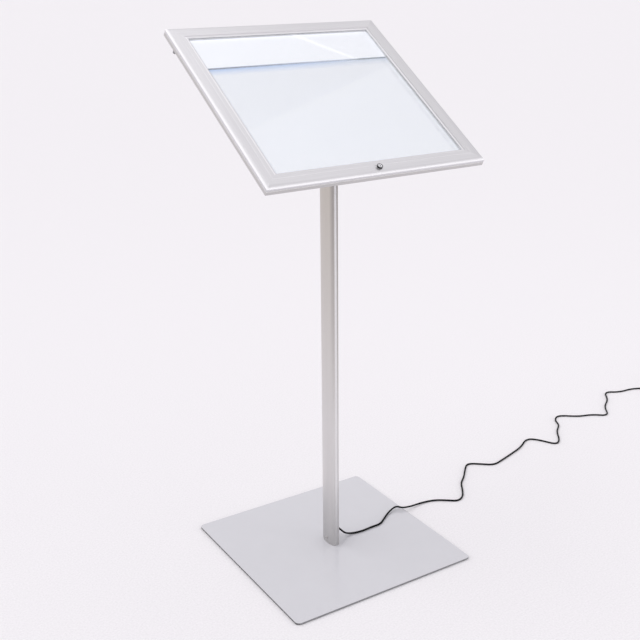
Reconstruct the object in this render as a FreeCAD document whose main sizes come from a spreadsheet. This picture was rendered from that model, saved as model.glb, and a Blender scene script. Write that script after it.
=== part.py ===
"""Lectern menu display stand: floor plate, lens-section column and a tilted, lockable, lit menu case.

Millimetres, +Z up, the lock side is -Y, the origin is the middle of the underside.
The head has a frame of its own: X across, Y up the slope, Z out of the face, with the face at zero.
"""
import FreeCAD, Part
import math
import os

import Sketcher

# Driving dimensions
SIZES = {
    # Floor plate and the sheet under it
    "base_width": 450,
    "base_depth": 450,
    "base_thick": 4,
    "base_corner": 10,
    "base_edge": 0.6,
    "mat_thick": 1,
    "mat_inset": 5,
    "base_screw_radius": 3,
    "base_screw_head": 6,
    "base_screw_sink": 3,
    "base_screw_grip": 16,
    "base_screw_spacing": 28,
    # Column
    "column_width": 24,
    "column_depth": 49,
    "column_flat": 12,
    "column_wall": 2,
    "column_end_wall": 3.2,
    "groove_width": 6,
    "groove_depth": 1.4,
    "strip_thick": 1,
    "strip_play": 0.2,
    "foot_block_height": 22,
    "foot_screw_height": 12,
    "side_screw_radius": 2,
    "side_screw_length": 7,
    "side_screw_head": 3.4,
    "side_screw_head_thick": 1.4,
    "side_screw_socket": 1.7,
    "side_screw_socket_depth": 0.9,
    # Clearances
    "slip_fit": 0.15,
    "hole_fit": 0.05,
    # Head: place, outline and layers
    "face_height": 1015.5,
    "face_shift": 8.8,
    "tilt": 32.3,
    "head_width": 494,
    "head_length": 468,
    "door_depth": 9,
    "seam": 0.4,
    "case_depth": 8.4,
    "seam_chamfer": 0.6,
    # Door rails
    "side_rail": 35,
    "cross_rail": 35,
    "edge_width": 8.5,
    "edge_drop": 4.2,
    "line_width": 0.8,
    "line_depth": 0.3,
    "line_pitch": 8.8,
    "face_groove_width": 1.2,
    "face_groove_depth": 1.4,
    "bead_width": 5.8,
    "bead_step": 0.8,
    "bead_flat": 2.4,
    "lip_run": 1.1,
    "lip_drop": 1.7,
    "lip_edge": 0.3,
    "lip_low": 2.6,
    "rebate": 9,
    "chamber_start": 3.5,
    "chamber_width": 16,
    "chamber_top": 2.2,
    "chamber_height": 4.8,
    "key_play": 0.2,
    "door_key_leg": 45,
    "door_key_width": 12.8,
    # Glazing
    "glazing_play": 0.6,
    "gasket_thick": 0.8,
    "gasket_setback": 0.5,
    "glazing_thick": 2,
    "retainer_setback": 1,
    "retainer_play": 0.1,
    # Case rails, back and floor of the case
    "case_wall": 2,
    "flange_width": 8.5,
    "flange_thick": 2,
    "ledge_width": 10,
    "ledge_thick": 1.5,
    "case_key_width": 6,
    "case_key_leg": 40,
    "panel_thick": 2.3,
    "panel_play": 0.2,
    "panel_screw_inset": 6,
    "panel_screw_radius": 1.5,
    "panel_screw_length": 3.5,
    "panel_screw_head": 2.8,
    "panel_screw_head_thick": 1.4,
    "cross_length": 3.4,
    "cross_width": 0.8,
    "cross_depth": 0.8,
    "panel_screw_spread_x": 160,
    "panel_screw_spread_y": 120,
    "reflector_thick": 0.5,
    "reflector_play": 0.4,
    "seal_inset": 3,
    "seal_width": 4,
    "seal_thick": 0.3,
    # Menu sheet and its channels
    "menu_gap": 1,
    "sheet_thick": 2.6,
    "sheet_top": 113.5,
    "channel_setback": 3.5,
    "channel_grip": 4,
    "channel_play": 0.3,
    "channel_wall": 1.5,
    "channel_lip_play": 0.1,
    "channel_lip": 0.8,
    # Light bar
    "led_low": 208,
    "led_depth": 12,
    "led_end_gap": 32,
    "led_wall": 1.2,
    "led_floor": 1,
    "led_height": 5.2,
    "led_lip": 0.8,
    "board_thick": 1,
    "board_inset": 3,
    "board_play": 0.1,
    "chip_end": 13.75,
    "chip_count": 24,
    "chip_width": 2.8,
    "chip_height": 2.4,
    "chip_thick": 0.8,
    "diffuser_thick": 1.2,
    "diffuser_inset": 0.4,
    # Hinges
    "hinge_spacing": 300,
    "hinge_length": 60,
    "hinge_middle": 24,
    "hinge_play": 0.2,
    "hinge_offset": 2.2,
    "knuckle_radius": 1.8,
    "pin_radius": 0.9,
    "leaf_thick": 1,
    "door_leaf_top": 4.4,
    "door_leaf_screw": 5.9,
    "case_leaf_top": 11.4,
    "case_leaf_low": 16.6,
    "hinge_screw_spread": 14,
    "hinge_screw_radius": 0.8,
    "hinge_screw_length": 3.5,
    "hinge_screw_head": 1.35,
    "hinge_screw_head_thick": 0.8,
    # Lock
    "lock_inset": 15.2,
    "lock_radius": 5,
    "lock_flange": 5.9,
    "lock_flange_thick": 4,
    "lock_plug_radius": 3.9,
    "lock_play": 0.1,
    "lock_nut_radius": 6.2,
    "lock_nut_thick": 2.2,
    "cam_gap": 0.5,
    "cam_thick": 1.5,
    "cam_width": 8,
    "cam_reach": 12,
    "cam_screw_head": 2.6,
    "cam_screw_head_thick": 0.9,
    "cam_screw_radius": 1.5,
    "cam_screw_grip": 5,
    "keyway_width": 1.5,
    "keyway_length": 4.6,
    "keyway_depth": 6,
    # Head bracket
    "bracket_width": 120,
    "bracket_length": 150,
    "bracket_centre": -20,
    "bracket_thick": 5,
    "bracket_corner": 10,
    "spigot_height": 60,
    "spigot_back": 4,
    "spigot_screw_drop": 30,
    "bolt_spread_x": 90,
    "bolt_spread_y": 116,
    "bolt_radius": 2,
    "bolt_head": 4,
    "bolt_sink": 2,
    "nut_radius": 4,
    "nut_thick": 3.2,
    "bolt_tail": 0.8,
    # Lead, its cover and grommets
    "lead_radius": 2.1,
    "lead_back": 11,
    "lead_slot": 6,
    "lead_slot_low": -20,
    "lead_entry": 213,
    "lead_end": 13.2,
    "lead_dip": 5.4,
    "cover_width": 14,
    "cover_depth": 9,
    "cover_wall": 1.2,
    "cover_end": 222,
    "grommet_radius": 4.4,
    "grommet_flange": 5.5,
    "grommet_flange_thick": 1.2,
    "grommet_nose": 3,
    "grommet_nose_tip": 3.4,
    "grommet_inside": 1.2,
    "grommet_bore_play": 0.15,
    "cord_exit_height": 29,
    # Rear buffers
    "buffer_radius": 4,
    "buffer_height": 6.5,
    "buffer_inset": 5,
    "buffer_up": 186,
    # Put-away coil, its tie and the plug-in adapter
    "coil_radius": 25.2,
    "coil_pitch": 4.7,
    "coil_turns": 3,
    "tie_width": 8,
    "tie_thick": 0.6,
    "tie_play": 0.3,
    "relief_length": 32,
    "relief_tip": 2.8,
    "relief_root": 4.4,
    "relief_grooves": 4,
    "relief_groove_pitch": 5,
    "relief_groove_width": 1.8,
    "relief_groove_depth": 0.6,
    "adapter_length": 62,
    "adapter_width": 34,
    "adapter_height": 27,
    "adapter_corner": 5,
    "adapter_edge": 3,
    "plug_pin_radius": 2,
    "plug_pin_length": 19,
    "plug_pin_spacing": 19,
    "plug_pin_height": 13.5,
}

# Where the tie sits round the coil, in degrees back from the cord's way in
TIE_ANGLE = 60

# Route of the free cord: exit, droop, floor plate, hump over the plate's edge, floor, coil
CORD_POINTS = [
    (15, 0, 34), (22, 0, 34), (29, 0, 27.5), (36.5, -0.5, 16.5), (47.5, -1, 8.6), (62.5, -5, 7.3),
    (84.5, -7.5, 7.3), (110.5, -6, 7.3), (135, -1, 7.3), (157, 10, 7.3), (181, 26, 8.6),
    (204, 33.5, 12), (232.5, 21.5, 12), (255.5, 23.5, 5), (285.5, 27, 2.3), (318, 20, 2.3),
    (343, 2, 2.3), (363.5, -15, 2.3), (386.5, -5.5, 2.3), (407.5, 20.5, 2.3), (427.5, 51.5, 2.3),
    (452.5, 77, 2.3), (481.5, 102, 2.3), (507.5, 122.5, 2.3), (535, 105.5, 2.3), (564, 79.5, 2.3),
    (599.5, 86, 2.3), (646.5, 98.5, 2.3), (692, 114, 2.3), (737, 145.5, 2.3), (764, 120, 2.3),
    (783.5, 79.5, 2.3), (813, 89.5, 2.3), (840.5, 124, 2.3), (871.5, 154, 2.3), (893.5, 189.5, 2.3),
    (924.5, 210.5, 2.3), (969, 173, 2.3), (1013.5, 161, 2.3), (1052, 133.5, 2.3), (1083, 171, 2.3),
    (1132, 209.5, 2.3), (1165.5, 254, 2.3), (1205, 229.5, 2.3), (1252.5, 228.5, 2.3), (1291, 209, 2.6),
    (1329.5, 197, 3),
]


class Size:
    """A number with its formula: the number places a piece, the formula binds its property."""

    def __init__(self, value, formula):
        self.value = value
        self.formula = formula

    def __float__(self):
        return self.value

    def __add__(self, other):
        other = as_size(other)
        return Size(self.value + other.value, f"({self.formula} + {other.formula})")

    def __sub__(self, other):
        other = as_size(other)
        return Size(self.value - other.value, f"({self.formula} - {other.formula})")

    def __mul__(self, other):
        other = as_size(other)
        return Size(self.value * other.value, f"({self.formula} * {other.formula})")

    def __truediv__(self, other):
        other = as_size(other)
        return Size(self.value / other.value, f"({self.formula} / {other.formula})")

    def __radd__(self, other):
        return as_size(other) + self

    def __rsub__(self, other):
        return as_size(other) - self

    def __rmul__(self, other):
        return as_size(other) * self

    def __neg__(self):
        return 0 - self


class Dimensions:
    """The driving dimensions by name."""


def as_size(thing):
    if isinstance(thing, Size):
        return thing
    return Size(float(thing), repr(float(thing)))


DOC = FreeCAD.newDocument("lectern")
SHEET = DOC.addObject("Spreadsheet::Sheet", "Sizes")
D = Dimensions()
for row, (alias, number) in enumerate(SIZES.items(), 1):
    SHEET.set(f"A{row}", alias)
    SHEET.set(f"B{row}", str(number))
    SHEET.setAlias(f"B{row}", alias)
    setattr(D, alias, Size(float(number), f"Sizes.{alias}"))
DOC.recompute()

WORLD = FreeCAD.Placement()
HEAD = FreeCAD.Placement(
    FreeCAD.Vector(0, float(D.face_shift), float(D.face_height)),
    FreeCAD.Rotation(FreeCAD.Vector(1, 0, 0), float(D.tilt)))
ALONG_X = FreeCAD.Rotation(FreeCAD.Vector(0, 1, 0), 90)
ALONG_Y = FreeCAD.Rotation(FreeCAD.Vector(1, 0, 0), -90)
ALONG_Z = FreeCAD.Rotation()
DOWN = FreeCAD.Rotation(FreeCAD.Vector(1, 0, 0), 180)
SECTION = FreeCAD.Rotation(FreeCAD.Vector(1, 1, 1), 120)
PIECES = []


# Building blocks
def vector(x, y, z):
    return FreeCAD.Vector(float(x), float(y), float(z))


def add(kind):
    return DOC.addObject(kind, "shape")


def bind(piece, **sizes):
    for name, size in sizes.items():
        piece.setExpression(name, as_size(size).formula)


def place(piece, at, turn=ALONG_Z):
    piece.Placement = FreeCAD.Placement(vector(*at), turn)
    return piece


def move(piece, frame):
    piece.Placement = frame * piece.Placement
    return piece


def half(size):
    return -size / 2, size / 2


def box(x, y, z):
    piece = add("Part::Box")
    bind(piece, Length=x[1] - x[0], Width=y[1] - y[0], Height=z[1] - z[0])
    return place(piece, (x[0], y[0], z[0]))


def rod(radius, at, length, turn=ALONG_Z):
    piece = add("Part::Cylinder")
    bind(piece, Radius=radius, Height=length)
    return place(piece, at, turn)


def cone(first, last, at, length, turn=ALONG_Z):
    piece = add("Part::Cone")
    bind(piece, Radius1=first, Radius2=last, Height=length)
    return place(piece, at, turn)


def hexagon(radius, at, length, turn=ALONG_Z):
    piece = add("Part::Prism")
    piece.Polygon = 6
    bind(piece, Circumradius=radius, Height=length)
    return place(piece, at, turn)


def fuse(*shapes):
    piece = add("Part::MultiFuse")
    piece.Shapes = list(shapes)
    piece.Refine = True
    return piece


def common(*shapes):
    piece = add("Part::MultiCommon")
    piece.Shapes = list(shapes)
    return piece


def cut(base, *tools):
    piece = add("Part::Cut")
    piece.Base = base
    piece.Tool = tools[0] if len(tools) == 1 else fuse(*tools)
    return piece


def group(*shapes):
    piece = add("Part::Compound")
    piece.Links = list(shapes)
    return piece


def sketch_polygon(sketch, points):
    """Draw a closed polygon whose corners are tied to the sheet."""
    count = len(points)
    corners = [vector(x, y, 0) for x, y in points]
    for index in range(count):
        sketch.addGeometry(Part.LineSegment(corners[index], corners[(index + 1) % count]))
    for index in range(count):
        sketch.addConstraint(Sketcher.Constraint("Coincident", index, 2, (index + 1) % count, 1))
    for index, (x, y) in enumerate(points):
        for kind, size in (("DistanceX", x), ("DistanceY", y)):
            number = sketch.addConstraint(Sketcher.Constraint(kind, -1, 1, index, 1, float(size)))
            sketch.setExpression(f"Constraints[{number}]", as_size(size).formula)


def prism(points, start, length, turn=ALONG_Z):
    """A polygon pushed out along Z, or along X when it is turned into a section of Y and Z."""
    sketch = add("Sketcher::SketchObject")
    sketch_polygon(sketch, points)
    place(sketch, (start, 0, 0) if turn is SECTION else (0, 0, start), turn)
    piece = add("Part::Extrusion")
    piece.Base = sketch
    piece.DirMode = "Normal"
    piece.Solid = True
    bind(piece, LengthFwd=length)
    return piece


def rounded_plate(width, depth, thick, corner, top_edge=None, low_edge=None):
    """A plate on XY, centred, with round corners and, where given, round rims."""
    body = DOC.addObject("PartDesign::Body", "plate")
    sketch = body.newObject("Sketcher::SketchObject", "outline")
    flat = [plane for plane in body.Origin.OriginFeatures if plane.Role == "XY_Plane"][0]
    sketch.AttachmentSupport = [(flat, "")]
    sketch.MapMode = "FlatFace"
    (west, east), (south, north) = half(width), half(depth)
    sketch_polygon(sketch, [(west, south), (east, south), (east, north), (west, north)])
    pad = body.newObject("PartDesign::Pad", "pad")
    pad.Profile = sketch
    bind(pad, Length=thick)
    DOC.recompute()
    uprights = edge_names(pad.Shape, lambda box: box.ZLength > float(thick) / 2)
    last = round_edges(body, pad, uprights, corner)
    for edge, level in ((top_edge, float(thick)), (low_edge, 0)):
        if edge is not None:
            rim = edge_names(last.Shape, lambda box: abs(box.ZMin - level) + abs(box.ZMax - level) < 1e-6)
            last = round_edges(body, last, rim, edge)
    return body


def edge_names(shape, wanted):
    return [f"Edge{number}" for number, edge in enumerate(shape.Edges, 1) if wanted(edge.BoundBox)]


def round_edges(body, base, names, radius):
    fillet = body.newObject("PartDesign::Fillet", "rounding")
    fillet.Base = (base, names)
    bind(fillet, Radius=radius)
    DOC.recompute()
    return fillet


def node(piece, label, frame=WORLD):
    """Name a finished piece, and put it in its frame."""
    move(piece, frame)
    piece.Label = label
    PIECES.append(piece)
    return piece


# Levels and half sizes that several pieces share
base_top = D.mat_thick + D.base_thick
half_x = D.head_width / 2
half_y = D.head_length / 2
window_x = half_x - D.side_rail
window_y = half_y - D.cross_rail
door_low = -D.door_depth
case_high = door_low - D.seam
case_low = case_high - D.case_depth
flange_low = case_high - D.flange_thick
panel_high = case_low + D.panel_thick
ledge_high = panel_high + D.ledge_thick
floor_high = panel_high + D.reflector_thick
sheet_low = floor_high + D.menu_gap
sheet_high = sheet_low + D.sheet_thick
gasket_low = -D.lip_low - D.gasket_thick
glazing_low = gasket_low - D.glazing_thick
bracket_low = case_low - D.bracket_thick
exit_z = base_top + D.cord_exit_height
cord_bore = D.lead_radius + D.grommet_bore_play


# Base
def make_base():
    mat_width = D.base_width - 2 * D.mat_inset
    mat_depth = D.base_depth - 2 * D.mat_inset
    node(rounded_plate(mat_width, mat_depth, D.mat_thick, D.base_corner - D.mat_inset), "base_mat")

    plate = rounded_plate(D.base_width, D.base_depth, D.base_thick, D.base_corner, D.base_edge)
    place(plate, (0, 0, D.mat_thick))
    holes = []
    screws = []
    for y in half(D.base_screw_spacing):
        start = (0, y, D.mat_thick)
        above = (0, y, D.mat_thick + D.base_screw_sink)
        sink = D.base_screw_sink
        grip = D.base_thick - sink + D.base_screw_grip
        holes.append(cone(D.base_screw_head + D.hole_fit, D.base_screw_radius + D.hole_fit, start, sink))
        holes.append(rod(D.base_screw_radius + D.hole_fit, above, grip))
        head = cone(D.base_screw_head, D.base_screw_radius, start, sink)
        screws.append(fuse(head, rod(D.base_screw_radius, above, grip)))
    node(cut(plate, *holes), "base_plate")
    node(group(*screws), "base_screws")


# Column
def lens(side_inset, end_inset, z):
    """A lens section: two round sides meeting two flat ends."""
    sagitta = (D.column_width - D.column_flat) / 2
    chord = D.column_depth / 2
    radius = (chord * chord + sagitta * sagitta) / (2 * sagitta)
    offset = radius - D.column_width / 2
    height = z[1] - z[0]
    left = rod(radius - side_inset, (offset, 0, z[0]), height)
    right = rod(radius - side_inset, (-offset, 0, z[0]), height)
    ends = box(half(D.column_width), half(D.column_depth - 2 * end_inset), z)
    return common(left, right, ends)


def above_bracket():
    """A block of the head's frame that trims what stands in the column to the bracket's underside."""
    reach = 2 * D.column_depth
    return move(box((-reach, reach), (-reach, reach), (bracket_low, bracket_low + reach)), HEAD)


def side_screw(height, sign):
    """A socket-head screw through one side of the column."""
    turn = FreeCAD.Rotation(FreeCAD.Vector(0, 1, 0), 90 * sign)
    outer = D.column_width / 2
    length = D.side_screw_length
    socket_start = outer + D.side_screw_head_thick - D.side_screw_socket_depth
    shank = rod(D.side_screw_radius, (sign * (outer - length), 0, height), length, turn)
    head = rod(D.side_screw_head, (sign * outer, 0, height), D.side_screw_head_thick, turn)
    socket = hexagon(
        D.side_screw_socket, (sign * socket_start, 0, height), D.side_screw_socket_depth, turn)
    return cut(fuse(shank, head), socket)


def side_hole(height):
    """A hole right across the column, for a pair of side screws."""
    length = D.column_width
    return rod(D.side_screw_radius + D.hole_fit, (-length / 2, 0, height), length, ALONG_X)


def make_column():
    top = D.face_height + D.column_depth
    chord = D.column_depth / 2
    foot_screw_z = base_top + D.foot_screw_height
    spigot_screw_z = column_top() - D.spigot_screw_drop
    inner = lens(D.column_wall, D.column_end_wall, (base_top, top))
    grooves = []
    for y in ((-chord, D.groove_depth - chord), (chord - D.groove_depth, chord)):
        grooves.append(box(half(D.groove_width), y, (base_top, top)))
    cord_hole = rod(D.grommet_radius + D.hole_fit, (0, 0, exit_z), D.column_width, ALONG_X)
    holes = [side_hole(foot_screw_z), side_hole(spigot_screw_z), cord_hole, above_bracket()]
    node(cut(lens(0, 0, (base_top, top)), inner, *grooves, *holes), "column")

    strip = D.groove_width - 2 * D.strip_play
    front = (D.groove_depth - D.strip_thick - chord, D.groove_depth - chord)
    rear = (chord - D.groove_depth, chord - D.groove_depth + D.strip_thick)
    for y, label in ((front, "column_strip_front"), (rear, "column_strip_rear")):
        node(cut(box(half(strip), y, (base_top, top)), above_bracket()), label)

    block = lens(
        D.column_wall + D.slip_fit, D.column_end_wall + D.slip_fit,
        (base_top, base_top + D.foot_block_height))
    holes = [side_hole(foot_screw_z)]
    for y in half(D.base_screw_spacing):
        holes.append(rod(D.base_screw_radius + D.hole_fit, (0, y, base_top), D.base_screw_grip + D.hole_fit))
    node(cut(block, *holes), "foot_block")
    node(group(*[side_screw(foot_screw_z, sign) for sign in (-1, 1)]), "foot_screws")
    node(group(*[side_screw(spigot_screw_z, sign) for sign in (-1, 1)]), "spigot_screws")


def column_top():
    """Height at which the column's middle meets the bracket."""
    lean = math.radians(float(D.tilt))
    return float(D.face_height) + (float(bracket_low) + float(D.face_shift) * math.sin(lean)) / math.cos(lean)


# Head bracket
def bolt_places():
    return [(x, D.bracket_centre + y) for x in half(D.bolt_spread_x) for y in half(D.bolt_spread_y)]


def make_bracket():
    plate = rounded_plate(D.bracket_width, D.bracket_length, D.bracket_thick, D.bracket_corner)
    place(plate, (0, D.bracket_centre, bracket_low))
    move(plate, HEAD)
    low = column_top() - D.spigot_height
    core = lens(
        D.column_wall + D.slip_fit, D.column_end_wall + D.slip_fit, (low, low + 2 * D.spigot_height))
    front = box(half(D.column_width), (-D.column_depth / 2, D.spigot_back), (low, low + 2 * D.spigot_height))
    spigot = cut(common(core, front), above_bracket())

    plate_top = D.bracket_centre + D.bracket_length / 2
    slot_y = (D.lead_slot_low, plate_top)
    tools = [box(half(D.lead_slot), slot_y, (bracket_low, case_low))]
    bolts = []
    nuts = []
    for x, y in bolt_places():
        through = D.panel_thick - D.bolt_sink + D.bracket_thick + D.nut_thick + D.bolt_tail
        neck = (x, y, panel_high - D.bolt_sink)
        tools.append(rod(D.bolt_radius + D.hole_fit, (x, y, bracket_low), D.bracket_thick))
        head = cone(D.bolt_head, D.bolt_radius, (x, y, panel_high), D.bolt_sink, DOWN)
        bolts.append(fuse(head, rod(D.bolt_radius, neck, through, DOWN)))
        nut_low = bracket_low - D.nut_thick
        bore = rod(D.bolt_radius + D.hole_fit, (x, y, nut_low), D.nut_thick)
        nuts.append(cut(hexagon(D.nut_radius, (x, y, nut_low), D.nut_thick), bore))
    tools = [move(tool, HEAD) for tool in tools]
    node(cut(fuse(plate, spigot), side_hole(column_top() - D.spigot_screw_drop), *tools), "head_bracket")
    node(group(*bolts), "bracket_bolts", HEAD)
    node(group(*nuts), "bracket_nuts", HEAD)


# Frame rails: each is made along X from its left corner, with Y inward, and turned into place
RAILS = {"bottom": 0, "right": 1, "top": 2, "left": 3}


def rail_frame(side):
    quarter = RAILS[side]
    x = -half_x if quarter in (0, 3) else half_x
    y = -half_y if quarter in (0, 1) else half_y
    turn = FreeCAD.Rotation(FreeCAD.Vector(0, 0, 1), 90 * quarter)
    return FreeCAD.Placement(vector(x, y, 0), turn)


def rail_length(side):
    return D.head_width if side in ("top", "bottom") else D.head_length


def mitre(length, width, neighbour):
    """The rail's outline seen square to the face, with its two slanting ends."""
    outline = [(0, 0), (length, 0), (length - neighbour, width), (neighbour, width)]
    return prism(outline, case_low, D.door_depth - case_low)


def door_section(width):
    """Face with a fine line and a groove, a low bead, a slope to the window's lip, and the pane's rebate."""
    low = D.seam_chamfer
    step = width - D.bead_width
    line = step - D.line_pitch
    shelf = step + D.face_groove_width
    lip = shelf + D.bead_flat
    inner = width - D.rebate
    return [
        (0, 0), (line, 0), (line + D.line_width / 2, -D.line_depth), (line + D.line_width, 0),
        (step, 0), (step + D.face_groove_width / 2, -D.face_groove_depth), (shelf, -D.bead_step),
        (lip, -D.bead_step), (lip + D.lip_run, -D.lip_drop),
        (width - D.lip_edge, -D.lip_drop), (width, -D.lip_drop - D.lip_edge),
        (width, -D.lip_low), (inner, -D.lip_low), (inner, door_low), (low, door_low), (0, door_low + low)]


def outer_corner(length):
    """What the wide round edge, which meets the wall at a low angle, takes off a rail."""
    width = D.edge_width
    drop = D.edge_drop
    radius = (width * width + drop * drop) / (2 * drop)
    corner = box((as_size(0), length), (-width, width), (-drop, drop))
    return cut(corner, rod(radius, (0, width, -radius), length, ALONG_X))


def chamber_section():
    start = D.chamber_start
    end = start + D.chamber_width
    high = -D.chamber_top
    low = high - D.chamber_height
    return [(start, low), (end, low), (end, high), (start, high)]


def case_section():
    low = D.seam_chamfer
    wall = D.case_wall
    return [
        (0, case_high - low), (low, case_high), (D.flange_width, case_high), (D.flange_width, flange_low),
        (wall, flange_low), (wall, ledge_high), (D.ledge_width, ledge_high), (D.ledge_width, panel_high),
        (wall, panel_high), (wall, case_low), (low, case_low), (0, case_low + low)]


def make_rails():
    for side in RAILS:
        length = rail_length(side)
        cross = side in ("top", "bottom")
        width = D.cross_rail if cross else D.side_rail
        neighbour = D.side_rail if cross else D.cross_rail

        bar = cut(
            prism(door_section(width), 0, length, SECTION),
            prism(chamber_section(), 0, length, SECTION), outer_corner(length))
        rail = move(common(bar, mitre(length, width, neighbour)), rail_frame(side))
        tools = hinge_screw_holes(door_screw_z()) if side == "top" else []
        if side == "bottom":
            tools = [rod(D.lock_radius + D.hole_fit, (0, lock_y(), door_low), D.door_depth)]
        node(cut(rail, *tools) if tools else rail, f"door_rail_{side}", HEAD)

        bar = prism(case_section(), 0, length, SECTION)
        rail = move(common(bar, mitre(length, D.flange_width, D.flange_width)), rail_frame(side))
        tools = hinge_screw_holes(case_screw_z()) if side == "top" else []
        for x, y in panel_screw_places()[side]:
            tools.append(rod(D.panel_screw_radius + D.hole_fit, (x, y, panel_high), D.ledge_thick))
        node(cut(rail, *tools), f"case_rail_{side}", HEAD)


def corner_keys(inset, leg, width, z):
    keys = []
    for x_sign, y_sign, quarter in ((-1, -1, 0), (1, -1, 1), (1, 1, 2), (-1, 1, 3)):
        outline = [(0, 0), (leg, 0), (leg, width), (width, width), (width, leg), (0, leg)]
        key = prism(outline, z[0], z[1] - z[0])
        turn = FreeCAD.Rotation(FreeCAD.Vector(0, 0, 1), 90 * quarter)
        keys.append(place(key, (x_sign * (half_x - inset), y_sign * (half_y - inset), 0), turn))
    return group(*keys)


def make_corner_keys():
    play = D.key_play
    high = -D.chamber_top - play
    low = -D.chamber_top - D.chamber_height
    keys = corner_keys(D.chamber_start + play, D.door_key_leg, D.door_key_width, (low, high))
    node(keys, "door_corner_keys", HEAD)
    levels = (ledge_high, flange_low - play)
    keys = corner_keys(D.case_wall + play, D.case_key_leg, D.case_key_width, levels)
    node(keys, "case_corner_keys", HEAD)


# Glazing
def ring(outer_x, outer_y, inner_x, inner_y, z):
    outside = box((-outer_x, outer_x), (-outer_y, outer_y), z)
    return cut(outside, box((-inner_x, inner_x), (-inner_y, inner_y), z))


def make_glazing():
    cover = D.rebate - D.glazing_play
    outer_x = window_x + cover
    outer_y = window_y + cover
    inner_x = window_x + D.gasket_setback
    inner_y = window_y + D.gasket_setback
    pane = box((-outer_x, outer_x), (-outer_y, outer_y), (glazing_low, gasket_low))
    node(pane, "glazing", HEAD)
    node(ring(outer_x, outer_y, inner_x, inner_y, (gasket_low, -D.lip_low)), "glazing_gasket", HEAD)

    near = D.retainer_setback
    far = D.rebate - D.retainer_play
    z = (door_low + D.retainer_play, glazing_low)
    long_x = (-window_x - far, window_x + far)
    short_y = (D.retainer_play - window_y - near, window_y + near - D.retainer_play)
    strips = []
    for low, high in ((window_y + near, window_y + far), (-window_y - far, -window_y - near)):
        strips.append(box(long_x, (low, high), z))
    for low, high in ((window_x + near, window_x + far), (-window_x - far, -window_x - near)):
        strips.append(box((low, high), short_y, z))
    node(group(*strips), "glazing_beads", HEAD)


# Case back, floor and seal
def panel_screw_places():
    across = half_y - D.panel_screw_inset
    along = half_x - D.panel_screw_inset
    spread_x = D.panel_screw_spread_x
    spread_y = D.panel_screw_spread_y
    return {
        "bottom": [(x, -across) for x in (-spread_x, as_size(0), spread_x)],
        "top": [(x, across) for x in (-spread_x, as_size(0), spread_x)],
        "left": [(-along, y) for y in (-spread_y, spread_y)],
        "right": [(along, y) for y in (-spread_y, spread_y)]}


def cross_recess(x, y, z):
    """The two slots of a screw's drive, up from its head's underside."""
    long = half(D.cross_length)
    short = half(D.cross_width)
    slots = []
    for across, along in ((long, short), (short, long)):
        x_range = (x + across[0], x + across[1])
        y_range = (y + along[0], y + along[1])
        slots.append(box(x_range, y_range, (z, z + D.cross_depth)))
    return slots


def make_case_floor():
    edge_x = half_x - D.case_wall - D.panel_play
    edge_y = half_y - D.case_wall - D.panel_play
    holes = [rod(D.grommet_radius + D.hole_fit, (0, D.lead_entry, case_low), D.panel_thick)]
    for x, y in bolt_places():
        sink = (x, y, panel_high)
        holes.append(cone(D.bolt_head + D.hole_fit, D.bolt_radius + D.hole_fit, sink, D.bolt_sink, DOWN))
        holes.append(rod(D.bolt_radius + D.hole_fit, (x, y, case_low), D.panel_thick))
    screws = []
    for places in panel_screw_places().values():
        for x, y in places:
            holes.append(rod(D.panel_screw_radius + D.hole_fit, (x, y, case_low), D.panel_thick))
            shank = rod(D.panel_screw_radius, (x, y, case_low), D.panel_screw_length)
            head_low = case_low - D.panel_screw_head_thick
            head = rod(D.panel_screw_head, (x, y, head_low), D.panel_screw_head_thick)
            screws.append(cut(fuse(head, shank), *cross_recess(x, y, head_low)))
    panel = box((-edge_x, edge_x), (-edge_y, edge_y), (case_low, panel_high))
    node(cut(panel, *holes), "back_panel", HEAD)
    node(group(*screws), "back_panel_screws", HEAD)

    edge_x = half_x - D.ledge_width - D.reflector_play
    edge_y = half_y - D.ledge_width - D.reflector_play
    film = box((-edge_x, edge_x), (-edge_y, edge_y), (panel_high, floor_high))
    lead_hole = rod(cord_bore, (0, D.lead_entry, panel_high), D.reflector_thick)
    node(cut(film, lead_hole), "reflector_sheet", HEAD)

    outer_x = half_x - D.seal_inset
    outer_y = half_y - D.seal_inset
    seal = ring(
        outer_x, outer_y, outer_x - D.seal_width, outer_y - D.seal_width,
        (case_high, case_high + D.seal_thick))
    node(seal, "door_seal", HEAD)

    buffers = []
    for x in (D.buffer_inset - half_x, half_x - D.buffer_inset):
        buffers.append(rod(D.buffer_radius, (x, D.buffer_up, case_low - D.buffer_height), D.buffer_height))
    node(group(*buffers), "rear_buffers", HEAD)


# Menu sheet and the channels that hold three of its edges
def make_menu_sheet():
    lip_x = window_x + D.channel_setback
    lip_y = -window_y - D.channel_setback
    edge_x = lip_x + D.channel_grip
    edge_y = lip_y - D.channel_grip
    node(box((-edge_x, edge_x), (edge_y, D.sheet_top), (sheet_low, sheet_high)), "menu_sheet", HEAD)

    wall = D.channel_grip + D.channel_play
    back = wall + D.channel_wall
    lip_low = sheet_high + D.channel_lip_play
    lip_high = lip_low + D.channel_lip
    section = [
        (0, floor_high), (back, floor_high), (back, lip_high), (0, lip_high),
        (0, lip_low), (wall, lip_low), (wall, sheet_low), (0, sheet_low)]
    low_end = lip_y - back
    side_length = D.sheet_top - low_end
    quarter = FreeCAD.Rotation(FreeCAD.Vector(0, 0, 1), 90)
    right = place(prism(section, 0, side_length, SECTION), (lip_x, D.sheet_top, 0), quarter.inverted())
    left = place(prism(section, 0, side_length, SECTION), (-lip_x, low_end, 0), quarter)
    turned = FreeCAD.Rotation(FreeCAD.Vector(0, 0, 1), 180)
    bottom = place(prism(section, 0, 2 * lip_x, SECTION), (lip_x, lip_y, 0), turned)
    node(right, "menu_channel_right", HEAD)
    node(left, "menu_channel_left", HEAD)
    node(bottom, "menu_channel_bottom", HEAD)


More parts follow.
